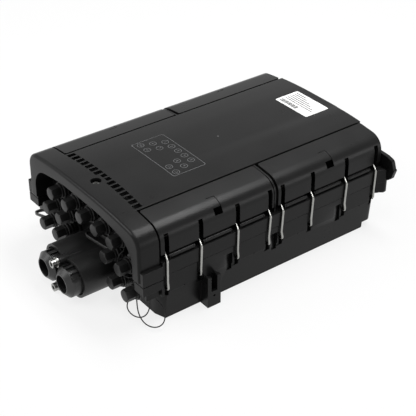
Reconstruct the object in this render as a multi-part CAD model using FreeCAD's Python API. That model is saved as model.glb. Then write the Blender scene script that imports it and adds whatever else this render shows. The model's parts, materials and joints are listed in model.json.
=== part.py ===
import FreeCAD, Part
import math
import os

from FreeCAD import Vector

# Fibre distribution hub box lying on its back: millimetres, +X to the right,
# ports towards -Y, lid towards +Z, origin at the centre of the back face.

# Base tub
foot_half = 116.8          # half width of the side walls at the back face
band_foot_half = 119.4     # half width of the drafted wall under the band
band_half = 120.8          # half width of the band and of the lid skirt
band_low = 38.0            # lower edge of the base band
part_z = 62.3              # parting plane of lid and base
part_gap = 0.4             # shadow gap along the parting line
rim_z = 72.0               # top of the base wall inside the lid skirt
rim_half = 116.0
tub_half = 112.0           # half width of the hollow
floor_t = 4.0
front_wall = -156.4        # outer face of the port wall
wall_t = 5.0
rear_wall = 167.2
band_rear = 168.6
cheek_half = 102.5         # the port wall slopes back from here
cheek_y = -151.6           # to here at the side walls
corner_r = 8.0
heel_y = 151.2             # the back face ends here, the heel above it goes on
heel_z = 8.0

# Lid
top_z = 128.0              # crest of the crowned top
lid_knee = (58.5, top_z, 630.0)     # top outline across: place, height and rounding
lid_edge = (116.8, 120.4, 19.0)
ledge_z = 80.0             # ledge that carries the latch pivots
skin = 3.0
skirt_t = 3.2
side_low = 117.2           # hood and end cap half width at the ledge
hood_front = -185.0
hood_rear = -158.0
lid_rear = 178.6
panel_half = 74.7          # half width of the middle panel
well_half = 97.0           # outside of the lid well under the levers
well_top = 118.0
well_round = 27.0
well_rear = 174.2
mouth_half = 104.0         # mouth of the hood
mouth_knee = (40.0, 113.5, 200.0)
mouth_edge = (104.0, 103.3, 30.0)
hood_edge_round = 4.0
end_inset = 3.4            # the rear end cap stands in by this much under the levers

# Ears at the hood mouth
ear_out = 121.8
ear_out_left = 125.2
ear_in = 104.6
ear_front = -183.4
ear_rear = -155.8
ear_low = 47.0
ear_top = 76.5
ear_part = 58.7
ear_gap = 0.55             # half of the gap between upper and lower ear

# Screw lugs at the rear corners
lug_x = 122.0
lug_y = 176.6
lug_r = 5.2
lug_low = 48.6

# Vent slots and lid screw
vent_count = 16
vent_pitch = 9.14
vent_width = 6.7
vent_length = 10.5
vent_skin = 1.4            # the panel is this thin round the slots
vent_y = -152.6            # middle of the outermost slots
vent_bow = 2.2             # the row bows back by this much in the middle
screw_y = -162.2
recess_depth = 6.0         # the lid screw's head lies this deep

# Latches
lever_in = 77.4            # inner edge of a lever at the seam
lever_t = 3.0
lever_low = 88.0
lever_runs = {"front": (-155.6, 3.0), "rear": (10.0, 174.0)}
wire_places = {"front": (-151.0, -104.7, -53.0, -5.5), "rear": (13.4, 59.6, 113.5, 162.2)}
pry_places = {"front": -75.6, "rear": 91.0}
pivot_x = 116.8
pivot_z = 83.2
pivot_r = 1.3
barrel_r = 2.4
running_gap = 0.05
hinge_after = 5.6          # a stretch of hinge starts this far past a wire
hinge_before = 6.0         # and ends this far before the next
lug_t = 2.2
yoke_x = 107.0             # bail bar inside the lever
yoke_z = 104.0
wire_r = 1.5
leg_x = 122.4              # legs of a bail outside the skirt
yoke_shift = 3.2           # the legs step this far back on their way into the lever
slot_before = -0.5         # a lever slot starts this far past its wire
slot_after = 6.5           # and ends this far past it
leg_splay = 0.5            # a bail's legs close in towards their hooks
slot_top = 112.5
slot_skin = 1.0            # the lever is this thin behind its slots and its pry hole
catch_z = 45.0             # underside of the catch that a hook sits under
hook_z = 42.2

# Ports: axis places across and up, and lengths along Y
top_row = [(x, 87.7) for x in (-63.7, -31.7, 0.0, 31.7, 63.7)]
middle_row = [(x, 60.4) for x in (-77.9, -48.6, 48.6, 77.9)]
bottom_row = [(x, 31.4) for x in (-89.9, -60.4, 60.4, 89.9)]
ports = top_row + middle_row + bottom_row
port_hole_r = 8.1
flange_r = 12.0
flange_t = 3.0
neck_r = 7.5
collar_r = 9.8
collar_rear = -162.4
collar_front = -164.2
neck_end = -175.4
cap_back = -167.0
cap_shoulder = -175.6
cap_face = -188.3
cap_r = 8.9
cap_flats = 14.2
strap_width = 4.2
strap_t = 1.3
# Each strap's direction round its port and how far it stands out
straps = [(320, 17.5), (318, 17.5), (322, 17.5), (316, 17.5), None,
          (212, 52.0), (128, 17.5), (187, 62.0), (75, 17.5),
          (196.5, 48.6), (125, 17.5), (60, 17.5), None]

# Cable gland
lobe_x = 19.8
gland_z = 23.7
sleeve_r = 23.6
sleeve_t = 3.2
saddle_r = 22.2            # hollow saddles between the two lobes
saddle_z = 41.3
sleeve_front = -210.5
plug_front = -227.6
plug_back = -206.0
plug_lobe_r = 18.6
plug_lobe_x = 20.0
cable_r = 10.9
cable_x = 20.0
seal_back = -182.0
clamp_back = -176.0
bolt_r = 2.0
bolt_set = 2.7             # bolt heads stand this far behind the plug's face
boss_r = 3.6
boss_back = -187.0
bolt_places = (40.3, 7.1)

# Cap lanyards: points of each free route, and cord radius
lanyard_r = 0.7
lanyard_routes = {
    "cap_lanyard_near": [
        (84.5, -172.5, 22.4), (81.8, -177.6, 16.6), (85.2, -182.6, 11.6), (91.6, -183.8, 8.4),
        (99.0, -183.0, 7.2), (106.5, -180.5, 8.0), (112.2, -177.0, 11.4), (114.8, -173.2, 17.4),
        (113.8, -170.0, 25.0), (113.4, -169.6, 33.0)],
    "cap_lanyard_far": [
        (91.0, -172.5, 21.0), (94.0, -174.4, 11.4), (103.0, -177.0, 5.0), (114.4, -178.0, 3.0),
        (125.2, -176.2, 4.2), (130.8, -171.0, 5.4), (131.8, -164.6, 8.4), (129.4, -160.4, 14.2),
        (124.6, -159.0, 21.2), (118.4, -160.0, 27.0), (114.2, -161.8, 28.6), (113.4, -162.2, 33.0)],
    "cap_lanyard_upper": [
        (71.1, -172.5, 80.3), (72.6, -174.0, 78.8), (70.5, -178.0, 74.0), (67.2, -179.5, 67.7),
        (67.3, -179.5, 59.4), (71.4, -178.5, 49.4), (80.0, -177.6, 46.8), (88.6, -175.0, 50.6),
        (96.4, -171.6, 55.6), (104.6, -170.0, 55.6)]}
lanyard_lug_low = 33.0

# Splice tray inside
tray_half = 92.0
tray_front = -118.0
tray_rear = 140.0
tray_low = 12.0
tray_depth = 14.0
tray_t = 2.0


def spot(plane, u, v, at):
    if plane == "xz":
        return Vector(u, at, v)
    if plane == "xy":
        return Vector(u, v, at)
    return Vector(at, u, v)


def corner(before, point, after, radius):
    a = (before - point).normalize()
    b = (after - point).normalize()
    half = a.getAngle(b) / 2
    inward = (a + b).normalize()
    reach = radius / math.tan(half)
    middle = point + inward * (radius / math.sin(half) - radius)
    return point + a * reach, middle, point + b * reach


def track(points, closed):
    # Straight runs through the points, with an arc where a point has a radius
    pieces = []
    count = len(points)
    for i, (point, radius) in enumerate(points):
        inner = closed or 0 < i < count - 1
        if radius and inner:
            pieces.append(corner(points[i - 1][0], point, points[(i + 1) % count][0], radius))
        else:
            pieces.append((point,))
    edges = []
    for i, piece in enumerate(pieces):
        if len(piece) == 3:
            edges.append(Part.Arc(*piece).toShape())
        if i == count - 1 and not closed:
            break
        start, end = piece[-1], pieces[(i + 1) % count][0]
        if (end - start).Length > 1e-6:
            edges.append(Part.LineSegment(start, end).toShape())
    return Part.Wire(edges)


def face(points, plane, at):
    # A point is (u, v), or (u, v, radius) for a rounded corner
    marks = [(spot(plane, p[0], p[1], at), p[2] if len(p) > 2 else 0) for p in points]
    return Part.Face(track(marks, True))


def prism(points, plane, start, end):
    along = spot(plane, 0, 0, end - start)
    return face(points, plane, start).extrude(along)


def block(low, high):
    size = Vector(*high) - Vector(*low)
    return Part.makeBox(size.x, size.y, size.z, Vector(*low))


def along_y(radius, x, z, start, end):
    return Part.makeCylinder(radius, end - start, Vector(x, start, z), Vector(0, 1, 0))


def upright(radius, x, y, low, high):
    return Part.makeCylinder(radius, high - low, Vector(x, y, low))


def turned(points):
    # Profile of (radius, place along Y), turned about the Y axis
    return face(points, "xy", 0).revolve(Vector(0, 0, 0), Vector(0, 1, 0), 360)


def join(shapes):
    return shapes[0].multiFuse(shapes[1:]).removeSplitter()


def mirrored(shape):
    return shape.mirror(Vector(0, 0, 0), Vector(1, 0, 0))


def both_sides(shapes):
    return shapes + [mirrored(shape) for shape in shapes]


def arch(half_low, half_top, low, high, radius):
    return [(-half_low, low), (half_low, low), (half_top, high, radius), (-half_top, high, radius)]


def vault(half_low, low, edge, knee, inset=0.0):
    # Shallow crown between two rounded edges, drawn in by the inset
    fall = (knee[1] - edge[1]) / (edge[0] - knee[0])
    knee_at = knee[0] - inset * math.tan(math.atan(fall) / 2)
    top = knee[1] - inset
    edge_at = edge[0] - inset
    edge_height = top - (edge_at - knee_at) * fall
    right = [(half_low, low, 0), (edge_at, edge_height, edge[2] - inset), (knee_at, top, knee[2] - inset)]
    return right + [(-x, z, radius) for x, z, radius in reversed(right)]


def crown(low, inset=0.0):
    return vault(side_low - inset, low, lid_edge, lid_knee, inset)


def hexagon(flats, x, z):
    reach = flats / math.sqrt(3)
    return [(x + reach * math.cos(math.radians(a)), z + reach * math.sin(math.radians(a)))
            for a in range(0, 360, 60)]


def wire_ys(run):
    return list(wire_places[run])


def all_wire_ys():
    return wire_ys("front") + wire_ys("rear")


def run_spans(run):
    # Stretches of hinge between the wires of one lever
    ys = wire_ys(run)
    return [(start + hinge_after, end - hinge_before) for start, end in zip(ys, ys[1:])]


def hinge_spans():
    return run_spans("front") + run_spans("rear")


# Base tub with port wall, latch catches, ears, brackets and rear screw lugs
def bracket():
    front, rear = -102.8, -84.5
    middle = (front + rear) / 2
    body = prism([(116.0, 0), (131.5, 0), (131.5, 41.0), (127.0, 41.0), (116.0, 36.0)], "xz", front, rear)
    well = block((120.5, front + 3.4, 6.0), (127.8, rear - 3.4, 60.0))
    slot = block((125.0, middle - 4.2, 20.5), (140.0, middle + 4.2, 60.0))
    hole = Part.makeCylinder(1.6, 20, Vector(125.0, middle, 14.5), Vector(1, 0, 0))
    return body.cut(well).cut(slot).cut(hole)


def rear_lug(low, high):
    web = prism([(112.6, 167.0), (119.8, 163.4), (122.4, 164.8), (lug_x + lug_r - 0.2, lug_y - 1.0),
                 (lug_x - lug_r, lug_y + 1.4)], "xy", low, high)
    return join([web, upright(lug_r, lug_x, lug_y, low, high)])


def catch_notches():
    cuts = []
    for i, y in enumerate(all_wire_ys()):
        shift = -leg_splay if i % 2 else leg_splay
        cuts.append(block((118.4, y - 5.6, 33.0), (130.0, y + 2.4, part_z)))
        cuts.append(block((114.8, y + shift - 2.4, 33.0), (130.0, y + shift + 2.4, catch_z)))
    return cuts


def wall_pockets():
    # Wedges that get deeper towards the rear and reach in behind their rear edge
    low, high, length, undercut = 30.0, 54.3, 13.4, 2.0
    cuts = []
    for rear in (-59.6, 7.4, 108.7):
        front = rear - length
        wedge = prism([(121.2, front), (114.6, rear + undercut), (117.4, rear), (130.0, rear), (130.0, front)],
                      "xy", low, high)
        shape = [(front, low, 9.0), (rear + undercut, low), (rear + undercut, high), (front, high)]
        cuts.append(wedge.common(prism(shape, "yz", 110.0, 130.0)))
    for y in (-127.6, -28.2, 38.9, 139.5):
        cuts.append(Part.makeCylinder(1.2, 12, Vector(118.9, y, 38.6), Vector(1, 0, 0)))
    return cuts


def base_shell():
    lower = prism([(-foot_half, 0), (foot_half, 0), (band_foot_half, band_low), (-band_foot_half, band_low)],
                  "xz", front_wall, rear_wall)
    rear_edges = [e for e in lower.Edges
                  if abs(e.CenterOfMass.y - rear_wall) < 0.1 and abs(e.CenterOfMass.x) > 100]
    lower = lower.makeFillet(corner_r, rear_edges)
    band = prism([(-band_half, front_wall), (band_half, front_wall), (band_half, band_rear, corner_r),
                  (-band_half, band_rear, corner_r)], "xy", band_low, part_z - part_gap)
    rim = prism([(-rim_half, front_wall), (rim_half, front_wall), (rim_half, 163.0, 6.0), (-rim_half, 163.0, 6.0)],
                "xy", part_z - 2, rim_z)
    shell = join([lower, band, rim])
    inner_front = front_wall + wall_t
    hollow = prism([(-tub_half, inner_front), (tub_half, inner_front), (tub_half, 159.5, 5.0),
                    (-tub_half, 159.5, 5.0)], "xy", floor_t, 100.0)
    shell = shell.cut(hollow)
    seal_gap = 3.2
    wall = prism(arch(well_half - skin - seal_gap, well_half - skin - seal_gap, part_z,
                      well_top - skin - seal_gap, well_round - skin - seal_gap), "xz", front_wall, inner_front)
    screw_lug = block((-8.0, screw_y - 6.5, 105.5), (8.0, front_wall, mouth_knee[1]))
    ears = [block((ear_in, ear_front, ear_low), (ear_out, ear_rear, ear_part - ear_gap)),
            block((-ear_out_left, ear_front, ear_low), (-ear_in, ear_rear, ear_part - ear_gap))]
    lug = block((111.9, -175.0, lanyard_lug_low), (114.9, -157.5, ear_low + 1))
    additions = [wall, screw_lug, lug] + ears + both_sides([bracket(), rear_lug(lug_low, part_z)])
    shell = join([shell] + additions)
    slope = (cheek_y - front_wall) / (foot_half - cheek_half)
    cheek = prism([(cheek_half, front_wall), (130.0, front_wall + slope * (130.0 - cheek_half)),
                   (130.0, front_wall - 5), (cheek_half, front_wall - 5)], "xy", -1, lanyard_lug_low)
    cuts = both_sides(catch_notches() + wall_pockets() + [cheek])
    cuts += [along_y(port_hole_r, x, z, front_wall - 1, inner_front + 1) for x, z in ports]
    cuts.append(gland_form(sleeve_t + 2.0, front_wall - 1, inner_front + 1))
    cuts.append(block((-150, heel_y, -1), (150, 200, heel_z)))
    cuts += both_sides([upright(2.2, lug_x, lug_y, 40, part_z + 1)])
    cuts.append(upright(2.1, 0, screw_y, 100, 115))
    for x in (-108.0, 62.0):
        for y in (-142.0, -30.0, 82.0):
            cuts.append(block((x, y, -1), (x + 46.0, y + 60.0, 1.2)))
    return shell.cut(Part.makeCompound(cuts))


# Lid with hood, lever wells, pivot lugs and rear ears
def rear_ear():
    outline = [(104, 98.0), (123, 96.8), (132.5, 94.2, 6.0), (136.0, 84.0), (137.8, 82.6),
               (133.8, 69.6, 3.0), (128.0, 65.0), (104, 65.0)]
    return prism(outline, "xz", lid_rear - 0.4, lid_rear + 4.6)


def pivot_lugs():
    lugs = []
    for ahead, behind in hinge_spans():
        for start, end in ((ahead, ahead + lug_t), (behind - lug_t, behind)):
            foot = block((pivot_x - 1.8, start, ledge_z - 1), (pivot_x + 1.8, end, pivot_z))
            lugs.append(join([foot, along_y(2.2, pivot_x, pivot_z, start, end)]))
    return lugs


def hood_shell():
    hood = prism(vault(side_low + 0.4, part_z, lid_edge, lid_knee), "xz", hood_front, hood_rear)
    front_edges = [e for e in hood.Edges
                   if abs(e.CenterOfMass.y - hood_front) < 0.01 and e.CenterOfMass.z > part_z + 1]
    return hood.makeFillet(hood_edge_round, front_edges)


def hood_hollow(boss):
    # Space between the hood's outer skin and the lining of its mouth
    outer = prism(crown(part_z - 1, skin), "xz", hood_front + 4, hood_rear - 2.6)
    lining = prism(vault(mouth_half + skin, 40, mouth_edge, mouth_knee, -skin), "xz", hood_front, hood_rear)
    return outer.cut(lining).cut(boss)


def lid_ledge():
    plan = [(-band_half, front_wall), (band_half, front_wall), (band_half, band_rear, corner_r),
            (-band_half, band_rear, corner_r)]
    return prism(plan, "xy", part_z, ledge_z)


def skirt_hollow():
    half, rear, radius = band_half - skirt_t, band_rear - skirt_t, corner_r - skirt_t
    plan = [(-half, front_wall - 1), (half, front_wall - 1), (half, rear, radius), (-half, rear, radius)]
    return prism(plan, "xy", part_z - 1, ledge_z - skin)


def vents():
    slots = []
    reach = (vent_count - 1) / 2 * vent_pitch
    for i in range(vent_count):
        x = (i - (vent_count - 1) / 2) * vent_pitch
        middle = vent_y + vent_bow * (1 - (x / reach) ** 2)
        front = middle - vent_length / 2 + (3.5 if abs(x) < vent_pitch else 0)
        rear = middle + vent_length / 2
        left, right = x - vent_width / 2, x + vent_width / 2
        plan = [(left, front, 1.0), (right, front, 1.0), (right, rear, 1.0), (left, rear, 1.0)]
        slots.append(prism(plan, "xy", well_top + 0.5, top_z + 1))
    return slots


def vent_void():
    # Space under the slotted strip, above the inner deck
    front, rear = vent_y - vent_length / 2 - 0.6, vent_y + vent_bow + vent_length / 2 + 0.8
    void = prism(crown(100.0, vent_skin), "xz", front, rear)
    return void.common(block((skin - panel_half, -200, well_top + 0.5), (panel_half - skin, 200, 140)))


def softened(shape, y, low, radius):
    # Round over the edges that lie in the plane at y, above the given height
    edges = [e for e in shape.Edges if abs(e.CenterOfMass.y - y) < 0.01 and e.CenterOfMass.z > low]
    return shape.makeFillet(radius, edges)


def lid_shell():
    low = ledge_z - skin
    boss = upright(7.6, 0, screw_y, mouth_knee[1], top_z - 1)
    well = prism(arch(well_half, well_half, low, well_top, well_round), "xz", hood_rear - 1, well_rear + skin)
    panel = prism(crown(low), "xz", hood_rear - 1, lid_rear)
    panel = panel.common(block((-panel_half, -200, well_top - skin), (panel_half, 200, 140)))
    panel = softened(panel, lid_rear, 120.0, 3.0)
    end_cap = softened(prism(crown(low, end_inset), "xz", 170.0, lid_rear), lid_rear, ledge_z, 3.0)
    rear_floor = block((-112.0, 166.0, low), (112.0, 171.0, ledge_z))
    divider = prism(crown(low, 1.5), "xz", 5.3, 7.7)
    ledge = lid_ledge().cut(skirt_hollow())
    ears = [block((ear_in, ear_front, ear_part + ear_gap), (ear_out, front_wall, ear_top)),
            block((-ear_out_left, ear_front, ear_part + ear_gap), (-ear_in, front_wall, ear_top))]
    lug = rear_lug(part_z, ledge_z + 0.9).cut(skirt_hollow())
    mouth = prism(vault(mouth_half, 40, mouth_edge, mouth_knee), "xz", hood_front - 1, hood_rear - 2.6)
    lid = join([hood_shell().cut(mouth), well, panel, end_cap, rear_floor, divider, ledge] + ears + both_sides(
        [lug, rear_ear()] + pivot_lugs()))

    half, top, rounding = well_half - skin, well_top - skin, well_round - skin
    inner = join([prism(arch(half, half, part_z - 1, top, rounding), "xz", hood_rear - 3, 158.5),
                  prism(arch(half, half, ledge_z, top, rounding), "xz", 158.0, well_rear)])
    deck_void = prism(crown(100.0, skin), "xz", vent_y + vent_length + 1, well_rear)
    deck_void = deck_void.common(block((skin - panel_half, -200, 100), (panel_half - skin, 200, 140)))
    cuts = [inner, deck_void, vent_void().cut(boss), hood_hollow(boss)] + vents()
    cuts.append(upright(6.5, 0, screw_y, top_z - recess_depth, top_z + 1))
    cuts.append(upright(2.7, 0, screw_y, 100, top_z))
    cuts += both_sides([upright(1.95, lug_x, lug_y, 50, 76.0),
                        block((117.5, 174.4, ledge_z - 0.6), (128.5, lid_rear - 0.4, ledge_z + 3)),
                        along_y(pivot_r + 0.02, pivot_x, pivot_z, -150.0, 166.0)])
    return lid.cut(Part.makeCompound(cuts))


def lid_gasket():
    # Seal on the tub rim along the sides and back, and over the arch of the port wall
    low, high = rim_z, ledge_z - skin
    run = prism([(-rim_half, front_wall), (rim_half, front_wall), (rim_half, 163.0, 6.0), (-rim_half, 163.0, 6.0)],
                "xy", low, high)
    run = run.cut(prism([(-tub_half, front_wall - 1), (tub_half, front_wall - 1), (tub_half, 159.5, 5.0),
                         (-tub_half, 159.5, 5.0)], "xy", low - 1, high + 1))
    half, top, rounding = well_half - skin, well_top - skin, well_round - skin
    sill = block((-rim_half, front_wall, low), (rim_half, front_wall + wall_t, high))
    over = prism(arch(half, half, low, top, rounding), "xz", front_wall, front_wall + wall_t)
    under = prism(arch(half - 3.2, half - 3.2, part_z, top - 3.2, rounding - 3.2), "xz",
                  front_wall - 1, front_wall + wall_t + 1)
    return join([run, sill, over]).cut(under)


# Latches: a lever that hinges at its lower edge and two sprung wire bails hung in it
def lever(run):
    front, rear = lever_runs[run]
    middle = pry_places[run]
    shell = prism(crown(ledge_z), "xz", front, rear).cut(prism(crown(ledge_z, lever_t), "xz", front, rear))
    plan = prism([(lever_in, front, 2.5), (140, front), (140, rear), (lever_in, rear, 2.5)], "xy", lever_low, 140)
    shell = shell.common(plan)
    ys = wire_ys(run)
    additions = []
    for start, end in run_spans(run):
        a, b = start + lug_t + 0.2, end - lug_t - 0.2
        # The hinge bar hangs under a groove, on a thin web
        additions.append(block((pivot_x - 3.0, a, pivot_z), (pivot_x - 1.3, b, lever_low + 1)))
        additions.append(along_y(barrel_r, pivot_x, pivot_z, a, b))
    for start, end in (ys[:2], ys[2:]):
        for y in (start + 9.0, end - 12.0):
            web = prism([(yoke_x, yoke_z - 3), (115.4, yoke_z - 6), (114.8, yoke_z + 6), (yoke_x, yoke_z + 3)],
                        "xz", y, y + 3.0)
            additions += [web, along_y(3.0, yoke_x, yoke_z, y, y + 3.0)]
    shell = join([shell] + additions)
    hollow = prism(crown(ledge_z, slot_skin), "xz", front + 1.5, rear - 1.5)
    thinned = [block((95, y - slot_before - 1.0, 70), (130, y + slot_after + 2.4, slot_top)) for y in ys]
    thinned.append(block((95, middle - 7.0, 107.0), (130, middle + 9.0, 118.5)))
    cuts = [hollow.common(Part.makeCompound(thinned))]
    cuts += [block((95, y - slot_before, 70), (130, y + slot_after, slot_top)) for y in ys]
    cuts.append(block((106, middle - 5.6, 109.0), (130, middle + 5.6, 116.8)))
    cuts.append(block((98.0, middle + 4.8, 112), (130, middle + 5.6, 140)))
    cuts.append(block((98.0, middle - 5.6, 112), (98.8, middle + 5.6, 140)))
    cuts.append(along_y(pivot_r + running_gap, pivot_x, pivot_z, front - 1, rear + 1))
    cuts.append(along_y(wire_r + running_gap, yoke_x, yoke_z, front - 1, rear + 1))
    return shell.cut(Part.makeCompound(cuts))


def leg_points(y, splay):
    outside = [(115.8, y + splay, hook_z), (leg_x, y + splay, hook_z), (leg_x, y, 81.8)]
    inside = [(112.6, y + yoke_shift, 86.6), (yoke_x, y + yoke_shift, yoke_z)]
    return [Vector(*p) for p in outside + inside]


def bail(front, rear):
    points = leg_points(front, leg_splay) + list(reversed(leg_points(rear, -leg_splay)))
    path = Part.makePolygon(points)
    section = Part.Wire(Part.Circle(points[0], Vector(1, 0, 0), wire_r).toShape())
    return Part.Solid(path.makePipeShell([section], True, False, 1))


def bails(run):
    ys = wire_ys(run)
    return Part.makeCompound([bail(ys[0], ys[1]), bail(ys[2], ys[3])])


def pivot_pins():
    pins = [along_y(pivot_r, pivot_x, pivot_z, start, end) for start, end in hinge_spans()]
    return Part.makeCompound(both_sides(pins))


# Ports: hardened adapters, dust caps and their straps
def adapter(x, z):
    body = turned([(0, front_wall + 16), (6.6, front_wall + 16), (6.6, front_wall + wall_t),
                   (port_hole_r - 0.15, front_wall + wall_t), (port_hole_r - 0.15, front_wall), (flange_r, front_wall),
                   (flange_r, front_wall - flange_t), (neck_r, front_wall - flange_t), (neck_r, collar_rear),
                   (collar_r, collar_rear), (collar_r, collar_front), (neck_r, collar_front), (neck_r, neck_end),
                   (0, neck_end)])
    return body.translated(Vector(x, 0, z))


def adapter_nut(x, z):
    start = front_wall + wall_t
    nut = prism(hexagon(21.0, x, z), "xz", start, start + 5.0)
    return nut.cut(along_y(6.7, x, z, start - 1, start + 6))


def dust_cap(x, z):
    skirt = along_y(cap_r, x, z, cap_shoulder, cap_back)
    rim = along_y(collar_r, x, z, cap_back - 1.6, cap_back)
    grip = prism(hexagon(cap_flats, 0, 0), "xz", cap_face, cap_shoulder + 0.5)
    bevel = turned([(0, cap_face), (6.9, cap_face), (8.0, cap_face + 0.7), (9.0, cap_face + 1.9),
                    (9.0, cap_shoulder + 1), (0, cap_shoulder + 1)])
    grip = grip.common(bevel).translated(Vector(x, 0, z))
    cap = join([skirt, rim, grip])
    return cap.cut(along_y(neck_r + running_gap, x, z, cap_shoulder + 0.1, cap_back + 1))


def cap_strap(x, z, lie):
    ring_front, ring_rear = -173.6, -171.4
    ring = turned([(cap_r + 0.25, ring_front), (cap_r + 1.5, ring_front), (cap_r + 1.5, ring_rear),
                   (cap_r + 0.25, ring_rear)])
    if lie is None:
        return ring.translated(Vector(x, 0, z))
    angle, reach = lie
    lean = 2.0
    front, rear = ring_front, collar_rear + 0.6
    outer = [(cap_r + 0.6, front), (reach, front - lean, 4.0), (reach, rear + 1.0, 4.0), (collar_r, rear)]
    inner = [(cap_r - 1, front + strap_t), (reach - strap_t, front - lean + strap_t, 2.7),
             (reach - strap_t, rear + 1.0 - strap_t, 2.7), (collar_r - 2, rear - strap_t)]
    half = strap_width / 2
    band = prism(outer, "xy", -half, half).cut(prism(inner, "xy", -half - 1, half + 1))
    band = band.cut(along_y(collar_r, 0, 0, -169.4, -150))
    strap = join([ring, band.cut(along_y(cap_r + 0.25, 0, 0, -190, -165))])
    strap.rotate(Vector(0, 0, 0), Vector(0, 1, 0), -angle)
    return strap.translated(Vector(x, 0, z))


# Cable gland: lobed sleeve, two-lobed plug, rubber seal, backing plate and bolts
def gland_form(inset, start, end):
    # Two round lobes joined by hollow saddles above and below
    lobe, saddle = sleeve_r - inset, saddle_r + inset
    share = saddle / (sleeve_r + saddle_r)
    across, up = lobe_x * share, saddle_z * (1 - share)
    waist = block((-across, start, gland_z - up), (across, end, gland_z + up))
    for side in (-1, 1):
        waist = waist.cut(along_y(saddle, 0, gland_z + side * saddle_z, start, end))
    lobes = [along_y(lobe, x, gland_z, start, end) for x in (-lobe_x, lobe_x)]
    return join([waist] + lobes)


def cable_holes(start, end):
    return [along_y(cable_r, x, gland_z, start, end) for x in (-cable_x, cable_x)]


def gland_sleeve():
    tube = gland_form(0, sleeve_front, front_wall)
    tube = tube.cut(gland_form(sleeve_t, sleeve_front - 1, clamp_back))
    tube = tube.cut(gland_form(sleeve_t + 2.0, clamp_back - 1, front_wall + 1))
    bosses = [along_y(boss_r, 0, z, plug_back + 0.4, boss_back) for z in bolt_places]
    cuts = [along_y(6.0, 0, z, sleeve_front - 1, plug_back + 0.4) for z in bolt_places]
    cuts += [along_y(bolt_r + running_gap, 0, z, plug_back, boss_back - 1.0) for z in bolt_places]
    return join([tube] + bosses).cut(Part.makeCompound(cuts))


def plug_lobe(x):
    body = turned([(0, plug_front), (cable_r + 1.4, plug_front), (plug_lobe_r, plug_front + 5.6),
                   (plug_lobe_r, plug_back), (0, plug_back)])
    return body.translated(Vector(x, 0, gland_z))


def gland_plug():
    web = block((-plug_lobe_x, plug_front + 9, gland_z - 13.5), (plug_lobe_x, plug_back, gland_z + 13.5))
    bosses = [along_y(5.4, 0, z, plug_front + bolt_set + 5, plug_back) for z in bolt_places]
    plug = join([plug_lobe(-plug_lobe_x), plug_lobe(plug_lobe_x), web] + bosses)
    cuts = cable_holes(plug_front - 1, plug_back + 1)
    cuts += [along_y(bolt_r + 0.2, 0, z, plug_front - 1, plug_back + 1) for z in bolt_places]
    cuts += [along_y(6.8, 0, z, plug_front - 1, plug_front + bolt_set + 5) for z in bolt_places]
    for side in (-1, 1):
        for angle in (50, 80, 112):
            notch = block((plug_lobe_r - 3.0, plug_front + 7.0, -3.2), (plug_lobe_r + 3, plug_back - 3.0, 3.2))
            notch.rotate(Vector(0, 0, 0), Vector(0, 1, 0), -angle if side > 0 else angle - 180)
            cuts.append(notch.translated(Vector(side * plug_lobe_x, 0, gland_z)))
    return plug.cut(Part.makeCompound(cuts))


def gland_layer(start, end, inset, boss_gap):
    bosses = [along_y(boss_r + boss_gap, 0, z, start - 1, end + 1) for z in bolt_places]
    return gland_form(inset, start, end).cut(Part.makeCompound(cable_holes(start - 1, end + 1) + bosses))


def gland_bolts():
    bolts = []
    seat = plug_front + bolt_set + 3.2
    for z in bolt_places:
        head = along_y(5.0, 0, z, seat - 6.2, seat)
        shank = along_y(bolt_r, 0, z, seat - 0.2, boss_back - 1.4)
        socket = prism(hexagon(5.0, 0, z), "xz", seat - 7.2, seat - 3.2)
        bolts.append(join([head, shank]).cut(socket))
    return Part.makeCompound(bolts)


def gland_washers():
    washers = []
    seat = plug_front + bolt_set + 3.2
    for z in bolt_places:
        disc = along_y(6.4, 0, z, seat, seat + 1.8)
        washers.append(disc.cut(along_y(bolt_r + 0.15, 0, z, seat - 1, seat + 3)))
    return Part.makeCompound(washers)


# Screws
def screw(x, y, seat, length, head_r, head_t, shank_r):
    shape = join([upright(head_r, x, y, seat, seat + head_t), upright(shank_r, x, y, seat - length, seat)])
    socket = prism(hexagon(head_r, x, y), "xy", seat + head_t * 0.4, seat + head_t + 1)
    return shape.cut(socket)


def rear_screw():
    # Driven up through the lower lug into the lid
    shape = join([upright(3.4, lug_x, lug_y, lug_low - 2.0, lug_low), upright(1.9, lug_x, lug_y, lug_low, 74.0)])
    return shape.cut(prism(hexagon(3.4, lug_x, lug_y), "xy", lug_low - 3.0, lug_low - 0.8))


# Inside: splice tray, its cover, splitter, splice holder and the label on top
def splice_tray():
    points = [(-tray_half, tray_front, 14), (tray_half, tray_front, 14), (tray_half, tray_rear, 14),
              (-tray_half, tray_rear, 14)]
    hollow = [(-tray_half + tray_t, tray_front + tray_t, 12), (tray_half - tray_t, tray_front + tray_t, 12),
              (tray_half - tray_t, tray_rear - tray_t, 12), (-tray_half + tray_t, tray_rear - tray_t, 12)]
    tray = prism(points, "xy", tray_low, tray_low + tray_depth)
    tray = tray.cut(prism(hollow, "xy", tray_low + tray_t, tray_low + 30))
    posts = [upright(5.0, x, y, floor_t, tray_low + 1) for x in (-80.0, 80.0) for y in (-104.0, 126.0)]
    return join([tray] + posts)


def tray_cover():
    low = tray_low + tray_depth
    points = [(-tray_half, tray_front, 14), (tray_half, tray_front, 14), (tray_half, tray_rear, 14),
              (-tray_half, tray_rear, 14)]
    cover = prism(points, "xy", low, low + 1.5)
    return cover.cut(upright(9.0, 0, tray_front + 16, low - 1, low + 3))


def splitter_module():
    low = tray_low + tray_t
    return prism([(-60, 20, 2), (-48, 20, 2), (-48, 100, 2), (-60, 100, 2)], "xy", low, low + 8.0)


def splice_holder():
    low = tray_low + tray_t
    comb = block((18.0, 30.0, low), (66.0, 80.0, low + 6.0))
    lanes = [block((21.0 + 5.5 * i, 25.0, low + 2.0), (24.4 + 5.5 * i, 85.0, low + 9.0)) for i in range(8)]
    return comb.cut(Part.makeCompound(lanes))


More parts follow.
